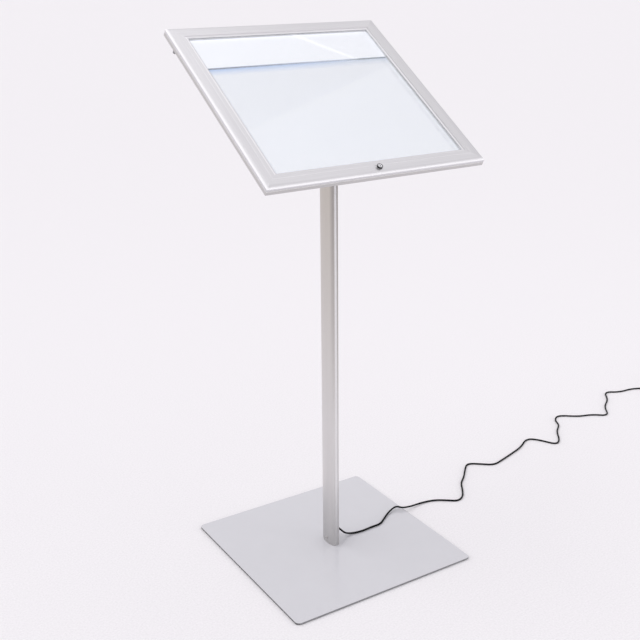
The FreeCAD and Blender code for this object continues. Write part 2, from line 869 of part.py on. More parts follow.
# Light bar under the top rail
def make_light_bar():
    low = D.led_low
    back = low + D.led_depth
    wall = back - D.led_wall
    base = floor_high + D.led_floor
    high = floor_high + D.led_height
    lip = high - D.led_lip
    section = [
        (low, floor_high), (back, floor_high), (back, high), (low, high),
        (low, lip), (wall, lip), (wall, base), (low, base)]
    length = D.head_width - 2 * D.led_end_gap
    bar = prism(section, -length / 2, length, SECTION)
    lead_hole = rod(cord_bore, (0, D.lead_entry, floor_high), D.led_floor)
    node(cut(bar, lead_hole), "led_channel", HEAD)

    board_x = half(length - 2 * D.board_inset)
    board_y = (wall - D.board_thick, wall)
    node(box(board_x, board_y, (base + D.board_play, lip - D.board_play)), "led_board", HEAD)

    middle = (base + lip) / 2
    chip_z = (middle - D.chip_height / 2, middle + D.chip_height / 2)
    chip_y = (board_y[0] - D.chip_thick, board_y[0])
    pitch = (length - 2 * D.chip_end) / (D.chip_count - 1)
    chips = []
    for index in range(int(SIZES["chip_count"])):
        x = (index - (D.chip_count - 1) / 2) * pitch
        chips.append(box((x - D.chip_width / 2, x + D.chip_width / 2), chip_y, chip_z))
    node(group(*chips), "led_chips", HEAD)

    front = low + D.diffuser_inset
    diffuser_x = half(length - 2 * D.diffuser_inset)
    node(box(diffuser_x, (front, front + D.diffuser_thick), (base, lip)), "led_diffuser", HEAD)


# Hinges: leaves on the top walls of door and case, pins along the seam
def door_screw_z():
    return -D.door_leaf_screw


def case_screw_z():
    return -(D.case_leaf_top + D.case_leaf_low) / 2


def hinge_centres():
    return half(D.hinge_spacing)


def hinge_screw_places():
    return [centre + x for centre in hinge_centres() for x in half(D.hinge_screw_spread)]


def hinge_screw_holes(z):
    start = half_y - D.hinge_screw_length
    length = D.hinge_screw_length + D.leaf_thick
    radius = D.hinge_screw_radius + D.hole_fit
    return [rod(radius, (x, start, z), length, ALONG_Y) for x in hinge_screw_places()]


def hinge_screws(z):
    screws = []
    outer = half_y + D.leaf_thick
    length = D.hinge_screw_length + D.leaf_thick - D.hole_fit
    for x in hinge_screw_places():
        shank = rod(D.hinge_screw_radius, (x, outer - length, z), length, ALONG_Y)
        head = rod(D.hinge_screw_head, (x, outer, z), D.hinge_screw_head_thick, ALONG_Y)
        screws.append(fuse(shank, head))
    return group(*screws)


def make_hinges():
    axis_y = half_y + D.hinge_offset
    axis_z = (door_low + case_high) / 2
    leaf_y = (half_y, half_y + D.leaf_thick)
    door_leaves = []
    case_leaves = []
    pins = []
    for centre in hinge_centres():
        ends = (centre - D.hinge_length / 2, centre + D.hinge_length / 2)
        middle = (centre - D.hinge_middle / 2, centre + D.hinge_middle / 2)
        inner = (middle[0] + D.hinge_play, middle[1] - D.hinge_play)
        bore = rod(
            D.pin_radius + D.hole_fit, (ends[0], axis_y, axis_z), D.hinge_length, ALONG_X)

        knuckle = rod(D.knuckle_radius, (inner[0], axis_y, axis_z), inner[1] - inner[0], ALONG_X)
        leaf = box(inner, leaf_y, (axis_z, -D.door_leaf_top))
        door_leaves.append(cut(fuse(leaf, knuckle), bore))

        pieces = [box(ends, leaf_y, (-D.case_leaf_low, -D.case_leaf_top))]
        for tab in ((ends[0], middle[0]), (middle[1], ends[1])):
            pieces.append(box(tab, leaf_y, (-D.case_leaf_top, axis_z)))
            pieces.append(rod(D.knuckle_radius, (tab[0], axis_y, axis_z), tab[1] - tab[0], ALONG_X))
        case_leaves.append(cut(fuse(*pieces), bore))
        pins.append(rod(D.pin_radius, (ends[0], axis_y, axis_z), D.hinge_length, ALONG_X))
    node(cut(group(*door_leaves), *hinge_screw_holes(door_screw_z())), "hinge_door_leaves", HEAD)
    node(cut(group(*case_leaves), *hinge_screw_holes(case_screw_z())), "hinge_case_leaves", HEAD)
    node(group(*pins), "hinge_pins", HEAD)
    node(hinge_screws(door_screw_z()), "hinge_door_screws", HEAD)
    node(hinge_screws(case_screw_z()), "hinge_case_screws", HEAD)


# Cam lock in the bottom rail
def lock_y():
    return D.lock_inset - half_y


def make_lock():
    y = lock_y()
    cam_high = flange_low - D.cam_gap
    cam_low = cam_high - D.cam_thick
    body_low = cam_high + D.lock_play
    flange = rod(D.lock_flange, (0, y, 0), D.lock_flange_thick)
    barrel = rod(D.lock_radius, (0, y, body_low), -body_low)
    bore = rod(D.lock_plug_radius + D.lock_play, (0, y, body_low), D.lock_flange_thick - body_low)
    node(cut(fuse(flange, barrel), bore), "lock_body", HEAD)

    nut_low = door_low - D.lock_nut_thick
    nut = hexagon(D.lock_nut_radius, (0, y, nut_low), D.lock_nut_thick)
    nut_bore = rod(D.lock_radius + D.hole_fit, (0, y, nut_low), D.lock_nut_thick)
    node(cut(nut, nut_bore), "lock_nut", HEAD)

    plug_high = D.lock_flange_thick - D.lock_play
    plug = rod(D.lock_plug_radius, (0, y, cam_high), plug_high - cam_high)
    key_y = (y - D.keyway_length / 2, y + D.keyway_length / 2)
    keyway = box(half(D.keyway_width), key_y, (plug_high - D.keyway_depth, plug_high))
    thread = rod(D.cam_screw_radius + D.hole_fit, (0, y, cam_high), D.cam_screw_grip)
    node(cut(plug, keyway, thread), "lock_plug", HEAD)

    boss = rod(D.cam_width / 2, (0, y, cam_low), D.cam_thick)
    arm = box((as_size(0), D.cam_reach), (y - D.cam_width / 2, y + D.cam_width / 2), (cam_low, cam_high))
    hole = rod(D.cam_screw_radius + D.hole_fit, (0, y, cam_low), D.cam_thick)
    node(cut(fuse(boss, arm), hole), "lock_cam", HEAD)

    screw_low = cam_low - D.cam_screw_head_thick
    head = rod(D.cam_screw_head, (0, y, screw_low), D.cam_screw_head_thick)
    shank_length = D.cam_thick + D.cam_screw_grip - D.hole_fit
    shank = rod(D.cam_screw_radius, (0, y, cam_low), shank_length)
    node(fuse(head, shank), "cam_screw", HEAD)


# Tubes along a route
def arc_from(start, tangent, end):
    """The arc that leaves start along tangent and ends at end."""
    chord = end - start
    side = chord - tangent * chord.dot(tangent)
    if side.Length < 1e-9:
        return Part.LineSegment(start, end).toShape()
    turn = chord.getAngle(tangent)
    radius = chord.Length / (2 * math.sin(turn))
    centre = start + side.normalize() * radius
    middle = centre + ((start + end) * 0.5 - centre).normalize() * radius
    return Part.Arc(start, middle, end).toShape()


def rounded_route(points, bends=None):
    """Straight runs joined by tangent arcs: as large as the runs allow, or of the given radii."""
    share = 0.45
    edges = []
    radii = []
    here = points[0]
    for index in range(1, len(points) - 1):
        before = points[index] - points[index - 1]
        after = points[index + 1] - points[index]
        turn = before.getAngle(after)
        shorter = min(before.Length, after.Length)
        radius = bends[index] if bends else share * shorter / math.tan(turn / 2)
        reach = radius * math.tan(turn / 2)
        before.normalize()
        after.normalize()
        start = points[index] - before * reach
        end = points[index] + after * reach
        edges.append(Part.LineSegment(here, start).toShape())
        edges.append(arc_from(start, before, end))
        radii.append(radius)
        here = end
    edges.append(Part.LineSegment(here, points[-1]).toShape())
    return Part.Wire(edges), radii


def tube(path, radius, start, direction, label):
    """A round tube along a wire, with its volume set against section times length."""
    section = Part.Wire(Part.makeCircle(radius, start, direction))
    piece = add("Part::Feature")
    piece.Shape = path.makePipeShell([section], True, False)
    share = piece.Shape.Volume / (math.pi * radius ** 2 * path.Length)
    print(f"{label}: length {path.Length:.1f}, volume share {share:.4f}")
    return piece


def make_lead():
    radius = float(D.lead_radius)
    lean = math.radians(float(D.tilt))
    slot_z = float(bracket_low + D.bracket_thick / 2)
    deep_z = float(case_low - D.lead_dip)
    shift = float(D.lead_back) - float(D.face_shift) + slot_z * math.sin(lean)
    turn_y = shift / math.cos(lean)
    plate_top = float(D.bracket_centre + D.bracket_length / 2)
    exit_x = float(D.column_width / 2 + D.grommet_nose)
    exit_bend = 3 * radius
    slot_bend = 6 * radius
    dip_bend = 12 * radius
    dip_run = 30
    rise_bend = float(D.lead_dip - D.grommet_flange_thick)
    head_points = [
        (0, turn_y, slot_z), (0, plate_top, slot_z), (0, plate_top + dip_run, deep_z),
        (0, float(D.lead_entry), deep_z), (0, float(D.lead_entry), -float(D.lead_end))]
    points = [vector(exit_x, 0, exit_z), vector(0, 0, exit_z), vector(0, D.lead_back, exit_z + dip_run)]
    points += [HEAD.multVec(FreeCAD.Vector(*point)) for point in head_points]
    bends = [0, exit_bend, dip_bend, slot_bend, dip_bend, dip_bend, rise_bend]
    path = rounded_route(points, bends)[0]
    node(tube(path, radius, points[0], points[1] - points[0], "inner_lead"), "inner_lead")

    plate_top = D.bracket_centre + D.bracket_length / 2
    cover_low = case_low - D.cover_depth
    inside = D.cover_width - 2 * D.cover_wall
    hollow_y = (plate_top, D.cover_end - D.cover_wall)
    cover = box(half(D.cover_width), (plate_top, D.cover_end), (cover_low, case_low))
    hollow = box(half(inside), hollow_y, (cover_low + D.cover_wall, case_low))
    node(cut(cover, hollow), "lead_cover", HEAD)

    body = rod(D.grommet_radius, (0, D.lead_entry, case_low), D.panel_thick)
    flange_z = case_low - D.grommet_flange_thick
    flange = rod(D.grommet_flange, (0, D.lead_entry, flange_z), D.grommet_flange_thick)
    bore = rod(cord_bore, (0, D.lead_entry, flange_z), D.panel_thick + D.grommet_flange_thick)
    node(cut(fuse(body, flange), bore), "case_grommet", HEAD)

    outer = D.column_width / 2
    inner = outer - D.column_wall - D.grommet_inside
    body = rod(D.grommet_radius, (inner, 0, exit_z), outer - inner, ALONG_X)
    nose = cone(D.grommet_flange, D.grommet_nose_tip, (outer, 0, exit_z), D.grommet_nose, ALONG_X)
    bore = rod(cord_bore, (inner, 0, exit_z), outer + D.grommet_nose - inner, ALONG_X)
    node(cut(fuse(body, nose), bore), "cable_grommet")


# Free cord, its put-away coil, tie and adapter
def coil_formula(entry, direction):
    """Radius and height of the coil by turns made: in on the floor, up, and out again on top."""
    pitch = float(D.coil_pitch)
    turns = float(D.coil_turns) - 0.5
    outer = float(D.coil_radius) + pitch * turns / 2
    inner = outer - pitch * turns
    last = 2 * float(D.coil_turns)

    def radius_at(turn):
        if turn < turns:
            return outer - pitch * turn
        if turn > turns + 0.5:
            return inner + pitch * (turn - turns - 0.5)
        return inner - pitch / math.pi / 2 * math.sin(2 * math.pi * (turn - turns))

    def height_at(turn):
        share = min(max(2 * (turn - turns), 0), 1)
        return entry.z + pitch * share * share * (3 - 2 * share)

    slope = math.atan2(-outer, -pitch / (2 * math.pi))
    start_angle = math.atan2(direction.y, direction.x) - slope
    lean = FreeCAD.Vector(math.cos(start_angle), math.sin(start_angle), 0)
    centre = entry - lean * outer

    def point_at(turn):
        angle = start_angle - 2 * math.pi * turn
        radius = radius_at(turn)
        return FreeCAD.Vector(
            centre.x + radius * math.cos(angle), centre.y + radius * math.sin(angle), height_at(turn))

    return point_at, centre, inner, outer, last


def biarc(start, start_tangent, end, end_tangent):
    """Two arcs that leave start and reach end along the given tangents."""
    gap = end - start
    both = start_tangent + end_tangent
    bend = 2 * (1 - start_tangent.dot(end_tangent))
    along = gap.dot(both)
    reach = (math.sqrt(along ** 2 + bend * gap.dot(gap)) - along) / bend
    middle = (start + end + (start_tangent - end_tangent) * reach) * 0.5
    joint = (middle - start - start_tangent * reach).normalize()
    return [arc_from(start, start_tangent, middle), arc_from(middle, joint, end)]


def coil_route(point_at, last, stub, direction):
    """Biarcs of a quarter turn, between two straight ends."""
    step = 0.25
    small = 1e-5
    count = int(round(last / step))
    points = [point_at(index * step) for index in range(count + 1)]
    tangents = []
    for index in range(count + 1):
        turn = index * step
        tangents.append((point_at(turn + small) - point_at(turn - small)).normalize())
    tangents[0] = direction
    edges = [Part.LineSegment(points[0] - direction * stub, points[0]).toShape()]
    for index in range(count):
        edges += biarc(points[index], tangents[index], points[index + 1], tangents[index + 1])
    tail = points[-1] + tangents[-1] * stub
    edges.append(Part.LineSegment(points[-1], tail).toShape())
    return Part.Wire(edges), tail, tangents[-1]


def least_gap(path, diameter):
    """Least gap of a tube to itself, measured between points along its path."""
    spacing = 1.5
    apart = int(4 * diameter / spacing)
    points = path.discretize(Distance=spacing)
    least = min(
        (points[i] - points[j]).Length
        for i in range(len(points)) for j in range(i + apart, len(points)))
    return least - diameter


def make_cord():
    radius = float(D.lead_radius)
    diameter = 2 * radius
    points = [FreeCAD.Vector(*point) for point in CORD_POINTS]
    path, radii = rounded_route(points)
    print("cord radii:", ", ".join(f"{value:.1f}" for value in radii))
    node(tube(path, radius, points[0], points[1] - points[0], "power_cord"), "power_cord")

    heading = (points[-1] - points[-2]).normalize()
    level = FreeCAD.Vector(heading.x, heading.y, 0).normalize()
    entry = points[-1] + heading * diameter
    point_at, centre, inner, outer, last = coil_formula(entry, level)
    coil, tail, tail_heading = coil_route(point_at, last, diameter, heading)
    node(tube(coil, radius, points[-1], heading, "cord_coil"), "cord_coil")
    print(f"cord_coil: least gap to itself {least_gap(coil, diameter):.2f}")

    lift = entry.z - radius - float(D.tie_thick)
    low = D.tie_thick
    high = tail.z + radius + D.tie_play
    near = as_size(inner - float(D.coil_pitch) / 2 - radius) - D.tie_play
    far = as_size(outer + float(D.coil_pitch) / 2 + radius) + D.tie_play
    wall = D.tie_thick
    band = box((near - wall, far + wall), half(D.tie_width), (low - wall, high + wall))
    hollow = box((near, far), half(D.tie_width), (low, high))
    away = math.degrees(math.atan2(level.y, level.x)) - TIE_ANGLE
    tie = place(cut(band, hollow), (centre.x, centre.y, 0), FreeCAD.Rotation(FreeCAD.Vector(0, 0, 1), away))
    node(tie, "cord_tie")
    print(f"cord_tie: gap under the coil {lift:.2f}")

    make_adapter(tail, tail_heading)


def make_adapter(tail, heading):
    """Plug-in adapter on the cord's end, made along X and turned to the cord."""
    spin = FreeCAD.Rotation(FreeCAD.Vector(0, 0, 1), math.degrees(math.atan2(heading.y, heading.x)))
    frame = FreeCAD.Placement(FreeCAD.Vector(tail.x, tail.y, 0), spin)
    relief = cone(D.relief_tip, D.relief_root, (0, 0, tail.z), D.relief_length, ALONG_X)
    grooves = []
    for index in range(int(SIZES["relief_grooves"])):
        start = D.relief_length - (index + 1) * D.relief_groove_pitch
        core = D.relief_tip + (D.relief_root - D.relief_tip) * (start / D.relief_length)
        outside = rod(2 * D.relief_root, (start, 0, tail.z), D.relief_groove_width, ALONG_X)
        inside = rod(
            core - D.relief_groove_depth, (start, 0, tail.z), D.relief_groove_width, ALONG_X)
        grooves.append(cut(outside, inside))
    node(cut(relief, *grooves), "adapter_strain_relief", frame)

    body = rounded_plate(
        D.adapter_length, D.adapter_width, D.adapter_height, D.adapter_corner, D.adapter_edge, D.adapter_edge)
    middle = D.relief_length + D.adapter_length / 2
    place(body, (middle, 0, 0))
    node(body, "adapter_body", frame)
    pins = []
    for x in half(D.plug_pin_spacing):
        start = (middle + x, D.adapter_width / 2, D.plug_pin_height)
        pins.append(rod(D.plug_pin_radius, start, D.plug_pin_length, ALONG_Y))
    node(group(*pins), "adapter_pins", frame)


# Test every object, then write each piece
def check():
    DOC.recompute()
    for thing in DOC.Objects:
        if "Invalid" in thing.State or "Error" in thing.State:
            raise RuntimeError(f"{thing.Label} failed: {thing.State}")
    for piece in PIECES:
        if piece.Shape.isNull() or not piece.Shape.isValid() or not piece.Shape.Solids:
            raise RuntimeError(f"{piece.Label} has no valid solid")


def write():
    os.makedirs("parts", exist_ok=True)
    for piece in PIECES:
        piece.Shape.exportStep(f"parts/{piece.Label}.step")
    print(f"{len(PIECES)} pieces, {sum(len(piece.Shape.Solids) for piece in PIECES)} solids")


make_base()
make_column()
make_bracket()
make_rails()
make_corner_keys()
make_glazing()
make_case_floor()
make_menu_sheet()
make_light_bar()
make_hinges()
make_lock()
make_lead()
make_cord()
check()
write()
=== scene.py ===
"""Dressed lectern menu stand: camera, power cord, a finish for every piece, floor and light."""
from math import atan2, cos, pi, radians, sin

import bpy
from mathutils import Matrix, Quaternion, Vector


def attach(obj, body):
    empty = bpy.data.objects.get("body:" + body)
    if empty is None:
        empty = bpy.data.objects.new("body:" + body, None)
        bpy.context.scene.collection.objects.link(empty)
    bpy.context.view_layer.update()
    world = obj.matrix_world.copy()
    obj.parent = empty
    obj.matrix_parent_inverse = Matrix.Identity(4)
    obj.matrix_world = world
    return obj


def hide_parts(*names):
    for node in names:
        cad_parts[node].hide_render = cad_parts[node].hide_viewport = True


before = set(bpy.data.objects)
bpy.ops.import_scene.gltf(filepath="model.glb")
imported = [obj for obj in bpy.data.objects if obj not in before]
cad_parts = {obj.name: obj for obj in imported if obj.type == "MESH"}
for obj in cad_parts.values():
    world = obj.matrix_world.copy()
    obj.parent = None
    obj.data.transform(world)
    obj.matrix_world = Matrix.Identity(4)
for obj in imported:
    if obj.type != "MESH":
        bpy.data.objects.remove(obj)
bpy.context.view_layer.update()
scene = bpy.context.scene
scene.view_settings.view_transform = "Standard"

# Tilted head: angle about X and the middle of its face
TILT = radians(32.3)
FACE = Vector((0, 0.0088, 1.0155))

# Free cord: the part's route in millimetres, some points moved, and its put-away coil
CORD_DIAMETER = 0.0042
MILLIMETRES = 1000
ROUTE = [
    (15, 0, 34), (19.5, 0, 33), (26.5, 0, 25.5), (36, -0.5, 14.5), (47.5, -1, 8.6), (62.5, -5, 7.3),
    (84.5, -7.5, 7.3), (112, -4.5, 7.3), (135, -5.5, 7.3), (157, 10, 7.3), (181, 26, 8.6),
    (210, 36, 12), (217.5, 19.5, 12), (240.5, 20.5, 8), (255.5, 23.5, 5), (285.5, 27, 2.3),
    (318, 20, 2.3), (343, 2, 2.3), (363.5, -15, 2.3), (386.5, -5.5, 2.3), (407.5, 20.5, 2.3),
    (427.5, 51.5, 2.3), (453, 70.5, 2.3), (483, 101.5, 2.3), (508.5, 125, 2.3), (535, 105.5, 2.3),
    (564, 79.5, 2.3), (601.5, 89.5, 2.3), (648.5, 103.5, 2.3), (694, 117.5, 2.3), (743, 149, 2.3),
    (768, 122, 2.3), (786.5, 77.5, 2.3), (813, 89.5, 2.3), (846.5, 136.5, 2.3), (883, 162, 2.3),
    (894, 192, 2.3), (924.5, 212.5, 2.3), (969, 173, 2.3), (1013.5, 161, 2.3), (1049, 127.5, 2.3),
    (1084, 180, 2.3), (1134, 210, 2.3), (1166, 257.5, 2.3), (1205, 229.5, 2.3), (1252.5, 228.5, 2.3),
    (1291, 209, 2.6), (1329.5, 197, 3),
]
COIL_PITCH = 0.0047
COIL_OUTER = 0.031075
COIL_IN = 2.5
COIL_CLIMB = 0.5
COIL_OUT = 3
COIL_STEPS = 20

# Camera at the photograph's viewing angle: place, turn as yaw, pitch and roll, lens and sensor
CAMERA_PLACE = (-1.08231, -1.69506, 1.25977)
CAMERA_TURN = (radians(31.97492), radians(19.59116), radians(-0.5639))
CAMERA_LENS = 56.5874
CAMERA_SENSOR = 36


def add_camera():
    yaw, pitch, roll = CAMERA_TURN
    forward = Vector((sin(yaw) * cos(pitch), cos(yaw) * cos(pitch), -sin(pitch)))
    level = Vector((cos(yaw), -sin(yaw), 0))
    upright = level.cross(forward)
    right = level * cos(roll) + upright * sin(roll)
    up = upright * cos(roll) - level * sin(roll)
    data = bpy.data.cameras.new("camera")
    data.sensor_width = CAMERA_SENSOR
    data.lens = CAMERA_LENS
    camera = bpy.data.objects.new("camera", data)
    camera.matrix_world = Matrix((right, up, -forward)).transposed().to_4x4()
    camera.location = CAMERA_PLACE
    scene.collection.objects.link(camera)
    scene.camera = camera


# Power cord
def coil_radius(turn):
    """Radius after a number of turns, which shrinks by the pitch each turn and then grows again."""
    inner = COIL_OUTER - COIL_PITCH * COIL_IN
    if turn < COIL_IN:
        return COIL_OUTER - COIL_PITCH * turn
    if turn > COIL_IN + COIL_CLIMB:
        return inner + COIL_PITCH * (turn - COIL_IN - COIL_CLIMB)
    return inner - COIL_PITCH * COIL_CLIMB / pi * sin(pi * (turn - COIL_IN) / COIL_CLIMB)


def coil_points(route):
    """Turns in on the floor, half a turn up, and turns out again on top."""
    heading = (route[-1] - route[-2]).normalized()
    entry = route[-1] + heading * CORD_DIAMETER
    start = atan2(heading.y, heading.x) - atan2(-COIL_OUTER, -COIL_PITCH / (2 * pi))
    centre = entry - Vector((cos(start), sin(start), 0)) * COIL_OUTER
    swell = 2 / (1 + cos(pi / COIL_STEPS))
    points = []
    for step in range(int((COIL_IN + COIL_CLIMB + COIL_OUT) * COIL_STEPS) + 1):
        turn = step / COIL_STEPS
        angle = start - 2 * pi * turn
        share = min(max((turn - COIL_IN) / COIL_CLIMB, 0), 1)
        lift = COIL_PITCH * share * share * (3 - 2 * share)
        reach = coil_radius(turn) * swell
        x = centre.x + reach * cos(angle)
        y = centre.y + reach * sin(angle)
        points.append(Vector((x, y, entry.z + lift)))
    tail = (points[-1] - points[-2]).normalized()
    points.append(points[-1] + tail * CORD_DIAMETER)
    return points


def add_cord():
    route = [Vector(point) / MILLIMETRES for point in ROUTE]
    points = route + coil_points(route)
    data = bpy.data.curves.new("power_cord_line", "CURVE")
    data.dimensions = "3D"
    data.bevel_depth = 1
    data.bevel_resolution = 4
    data.use_fill_caps = True
    spline = data.splines.new("NURBS")
    spline.points.add(len(points) - 1)
    for control, point in zip(spline.points, points):
        control.co = (*point, 1)
        control.radius = CORD_DIAMETER / 2
    spline.order_u = 3
    spline.use_endpoint_u = True
    spline.resolution_u = 8
    piece = bpy.data.objects.new("power_cord_line", data)
    scene.collection.objects.link(piece)
    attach(piece, "stand")
    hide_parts("power_cord", "cord_coil")
    return piece


# Where finishes, painted light and painted shade change on the stand, and on the head in its own tilted
# frame, in metres
FOOT_SHADE_RISE = (0, 0.17)
COLUMN_TOP_SHADE = (0.3, 0.85)
COLUMN_FRONT_SHADE = (-0.0243, -0.016)
PLATE_SHADED_EDGE = (0.0042, 0.0048)
PLATE_LIT_FRONT = (-0.2247, -0.2235)
LOCK_FOOT = (0.0004, 0.0007)
LOCK_RIM = 0.0004
RING_TOP = 0.0038
PLUG_TOP = 0.0036
WINDOW = (-0.2, 0.2)
WINDOW_EDGE_SHADE = (-0.208, -0.2)
SHEET_SHADE_BAND = (0.088, 0.1105)
SHEET_RIM_SHADE = (0.1095, 0.1105)
BAND_SHADE_SPAN = (0, 0.15)
RIM_SHADE_PALING = (-0.2, 0.1)
RIM_SHADE_END = (0.11, 0.14)
BEAD_CORNER = (0.19, 0.199)
BAR_LENS = (0.2, 0.21)
BAR_CHIPS = (0.2, 0.22)

# Painted line along a side rail of the door, a highlight on the left and groove shade on the right: its
# middle, half its width and its shade
LEFT_HIGHLIGHT_LINE = (-0.2163, 0.0012, 1.22)
RIGHT_SHADE_LINE = (0.2167, 0.0008, 0.86)

# Colours used more than once, or in a finish of their own
ALUMINIUM = (0.72, 0.715, 0.733)
CASE_ALUMINIUM = (0.6, 0.588, 0.585)
BAR_LIGHT = (0.925, 0.945, 1.0, 1)
SHEET_CLEAR = (0.985, 0.99, 0.998)
# The sheet's band and edge-line colours are painted shade
BAND_SHADE_BLUE = (0.55, 0.685, 0.92)
BAND_SHADE_GREY = (0.6, 0.67, 0.8)
RIM_SHADE_DARK = (0.2, 0.23, 0.3)
RIM_SHADE_PALE = (0.48, 0.55, 0.68)
RIM_SHADE_GREY = (0.22, 0.27, 0.31)

# Texture counts for each metre along X, Y and Z, relief in metres, play of the gloss and fall of the
# sheet's painted shade band
ALONG_X = (5, 1100, 1100)
ALONG_Y = (1100, 5, 1100)
ALONG_Z = (1100, 1100, 5)
STREAKS = 260
COLUMN_STREAKS = (STREAKS, STREAKS, 3)
WIPING = (9, 30, 9)
CLOUDS = (20, 20, 20)
GRAIN_DETAIL = 3
GRAIN_DEPTH = 0.00004
GLOSS_PLAY = 0.05
CLOUD_RANGE = (0.1, 0.9)
SHADE_BAND_POWER = 1.6

# Refraction, and sockets of a colour mix
CLEAR_PLASTIC = {"Transmission_Weight": 1.0, "IOR": 1.49}
PAINT_IOR = 1.8
MIX_SHARE = 0
MIX_FIRST = 6
MIX_SECOND = 7
MIX_RESULT = 2


# Finishes
class Finish:
    """A material on one Principled shader, with the few nodes that its finish needs."""

    def __init__(self, name, **sockets):
        self.material = bpy.data.materials.new(name)
        self.material.use_nodes = True
        self.tree = self.material.node_tree
        self.shader = self.tree.nodes["Principled BSDF"]
        for socket, value in sockets.items():
            self.shader.inputs[socket.replace("_", " ")].default_value = value

    def add(self, kind, links=(), **settings):
        made = self.tree.nodes.new(kind)
        for setting, value in settings.items():
            setattr(made, setting, value)
        for socket, source in dict(links).items():
            if isinstance(source, bpy.types.NodeSocket):
                self.tree.links.new(source, made.inputs[socket])
            else:
                made.inputs[socket].default_value = source
        return made

    def use(self, **sources):
        for socket, source in sources.items():
            self.tree.links.new(source, self.shader.inputs[socket.replace("_", " ")])

    def place(self, tilted=False):
        """Coordinates in metres, in the shared frame or along the tilted head."""
        vector = self.add("ShaderNodeTexCoord").outputs["Object"]
        if not tilted:
            return vector
        turn = Matrix.Rotation(-TILT, 3, "X")
        mapped = self.add("ShaderNodeMapping", {
            "Vector": vector, "Location": -(turn @ FACE), "Rotation": (-TILT, 0, 0)})
        return mapped.outputs["Vector"]

    def noise(self, vector, stretch, detail=2):
        scaled = self.add("ShaderNodeVectorMath", {0: vector, 1: stretch}, operation="MULTIPLY")
        made = self.add("ShaderNodeTexNoise", {
            "Vector": scaled.outputs["Vector"], "Scale": 1, "Detail": detail})
        return made.outputs["Fac"]

    def spread(self, value, low, high, start=0.3, end=0.7):
        """A value over a span, or a noise over its usual span, as a run from low to high."""
        made = self.add("ShaderNodeMapRange", {
            "Value": value, "From Min": start, "From Max": end, "To Min": low, "To Max": high})
        return made.outputs["Result"]

    def blend(self, share, first, second, kind="MIX"):
        """Two colours, each plain or from a node, mixed or multiplied by a share."""
        ends = [(*colour, 1) if isinstance(colour, tuple) else colour for colour in (first, second)]
        sources = {MIX_SHARE: share, MIX_FIRST: ends[0], MIX_SECOND: ends[1]}
        made = self.add("ShaderNodeMix", sources, data_type="RGBA", blend_type=kind)
        return made.outputs[MIX_RESULT]

    def multiply(self, first, second):
        made = self.add("ShaderNodeMath", {0: first, 1: second}, operation="MULTIPLY")
        return made.outputs[0]

    def paint_foot_shade(self, colour, height, low):
        """Painted shade: the colour, darkened down to a share of it at the floor."""
        return self.blend(1, colour, self.spread(height, low, 1, *FOOT_SHADE_RISE), "MULTIPLY")

    def bump(self, height, distance, strength):
        made = self.add("ShaderNodeBump", {"Height": height, "Distance": distance, "Strength": strength})
        return made.outputs["Normal"]


def shade(colour, factor):
    return tuple(min(channel * factor, 1) for channel in colour)


def grained(name, colour, grain, tilted=False, roughness=0.44, line=None):
    """Anodised metal: fine lines and broad streaks along the grain, and a painted line, lighter as a
    highlight, darker as groove shade.
    """
    finish = Finish(name, Metallic=1.0)
    place = finish.place(tilted)
    lines = finish.noise(place, grain, GRAIN_DETAIL)
    streaks = finish.noise(place, tuple(min(axis, STREAKS) for axis in grain), GRAIN_DETAIL)
    tone = finish.blend(finish.spread(streaks, 0, 1), shade(colour, 0.965), shade(colour, 1.025))
    # Painted line: lighter as a highlight, darker as groove shade
    if line:
        middle, half_width, factor = line
        across = finish.add("ShaderNodeSeparateXYZ", {"Vector": place}).outputs["X"]
        inside = finish.add(
            "ShaderNodeMath", {0: across, 1: middle, 2: half_width}, operation="COMPARE")
        tone = finish.blend(inside.outputs[0], tone, shade(colour, factor))
    finish.use(
        Base_Color=tone,
        Roughness=finish.spread(lines, roughness - GLOSS_PLAY, roughness + GLOSS_PLAY),
        Normal=finish.bump(lines, GRAIN_DEPTH, 0.25))
    return finish.material


def column_finish(name, low, high, front):
    """Anodised metal, with painted shade at its foot and towards its top, and near the top a painted
    dark reflection beside the front strip.
    """
    finish = Finish(name, Metallic=1.0)
    place = finish.place()
    split = finish.add("ShaderNodeSeparateXYZ", {"Vector": place})
    lines = finish.noise(place, ALONG_Z, GRAIN_DETAIL)
    streaks = finish.noise(place, COLUMN_STREAKS, GRAIN_DETAIL)
    height = split.outputs["Z"]
    # Painted shade towards the top under the head, and a painted dark reflection on the front lands
    # there
    top_shade_share = finish.spread(height, 0, 1, *COLUMN_TOP_SHADE)
    body = finish.blend(top_shade_share, low, high)
    front_shade_share = finish.spread(split.outputs["Y"], 1, 0, *COLUMN_FRONT_SHADE)
    tone = finish.blend(finish.multiply(top_shade_share, front_shade_share), body, front)
    drawn = finish.blend(1, tone, finish.spread(streaks, 0.965, 1), "MULTIPLY")
    finish.use(
        Base_Color=finish.paint_foot_shade(drawn, height, 0.79),
        Roughness=finish.spread(lines, 0.36, 0.46),
        Normal=finish.bump(lines, GRAIN_DEPTH, 0.2))
    return finish.material


def lock_finish(name, side, face, level):
    """Plated metal with another tone on the face above a level, and painted shade on the sides, paler at
    their foot.
    """
    finish = Finish(name, Metallic=1.0)
    place = finish.place(True)
    height = finish.add("ShaderNodeSeparateXYZ", {"Vector": place}).outputs["Z"]
    marks = finish.noise(place, (700, 700, 700))
    # Sides darkened as painted shade, paler at their foot
    shaded_wall = finish.blend(finish.spread(height, 0, 1, *LOCK_FOOT), shade(ALUMINIUM, 0.8), side)
    finish.use(
        Base_Color=finish.blend(finish.spread(height, 0, 1, level - LOCK_RIM, level), shaded_wall, face),
        Roughness=finish.spread(marks, 0.12, 0.2))
    return finish.material


